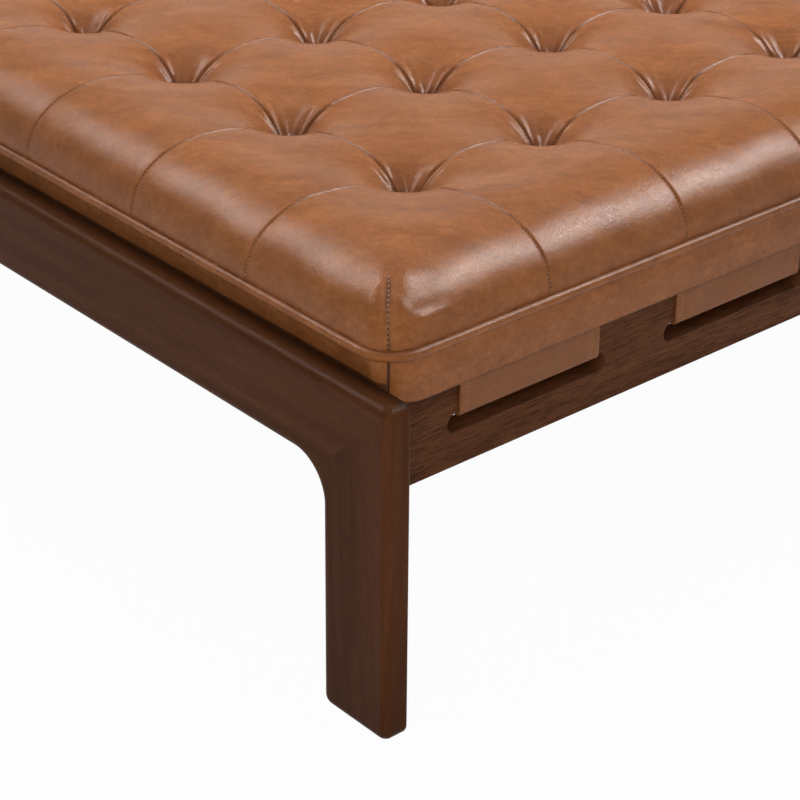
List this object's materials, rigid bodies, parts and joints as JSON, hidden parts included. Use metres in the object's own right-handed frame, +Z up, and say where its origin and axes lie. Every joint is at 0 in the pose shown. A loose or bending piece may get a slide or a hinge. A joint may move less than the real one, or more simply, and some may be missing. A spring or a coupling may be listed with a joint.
{
  "type": "ottoman coffee table",
  "caption": "Low rectangular coffee table: slab wood end frames and slotted cross rails carry wide leather straps and a loose tufted leather cushion.",
  "frame": {"origin": "on the floor, at the middle of the table's footprint", "axes": "+X along the front cross rail from left to right, +Y from front to back, +Z up"},
  "size_m": [1.32, 1.03, 0.386],
  "materials": {
    "stained_wood": "dark walnut stain under satin lacquer",
    "inner_wood": "plain planed hardwood, unstained",
    "strap_leather": "caramel belting leather, waxed",
    "cushion_leather": "mottled caramel leather with a soft gloss",
    "welt_leather": "the cushion's leather over a cord",
    "foam": "cut polyurethane foam",
    "lining_cloth": "dark woven lining",
    "twine": "waxed tufting twine",
    "washer_plastic": "moulded black disc",
    "zip_cloth": "woven zip tape with its teeth",
    "zip_metal": "dull brass",
    "bar_steel": "zinc-plated flat bar",
    "screw_steel": "zinc-plated screws",
    "glide_metal": "nickel-plated nail-in glides"
  },
  "bodies": {
    "frame": {"side_rail_left": "stained_wood", "side_rail_right": "stained_wood", "leg_front_left": "stained_wood", "leg_front_right": "stained_wood", "leg_back_left": "stained_wood", "leg_back_right": "stained_wood", "mitre_tenons": "inner_wood", "front_rail": "stained_wood", "back_rail": "stained_wood", "rail_dowels": "inner_wood", "corner_block_front_left": "inner_wood", "corner_block_front_right": "inner_wood", "corner_block_back_left": "inner_wood", "corner_block_back_right": "inner_wood", "block_screws": "screw_steel", "stretcher_left": "inner_wood", "stretcher_right": "inner_wood", "stretcher_dowels": "inner_wood", "strap_1": "strap_leather", "strap_2": "strap_leather", "strap_3": "strap_leather", "strap_4": "strap_leather", "strap_5": "strap_leather", "strap_clamp_bars": "bar_steel", "strap_screws": "screw_steel", "glides": "glide_metal"},
    "cushion": {"tufted_top": "cushion_leather", "border_front": "cushion_leather", "border_back": "cushion_leather", "border_left": "cushion_leather", "border_right": "cushion_leather", "welt": "welt_leather", "foam_core": "foam", "bottom_cloth": "lining_cloth", "tuft_cords": "twine", "tuft_washers": "washer_plastic", "zip_tape": "zip_cloth", "zip_slider": "zip_metal"}
  },
  "joints": [
    {"name": "cushion_lift", "type": "slide", "parent": "frame", "child": "cushion", "axis": [0, 0, 1], "range_m": [0, 0.3]}
  ]
}
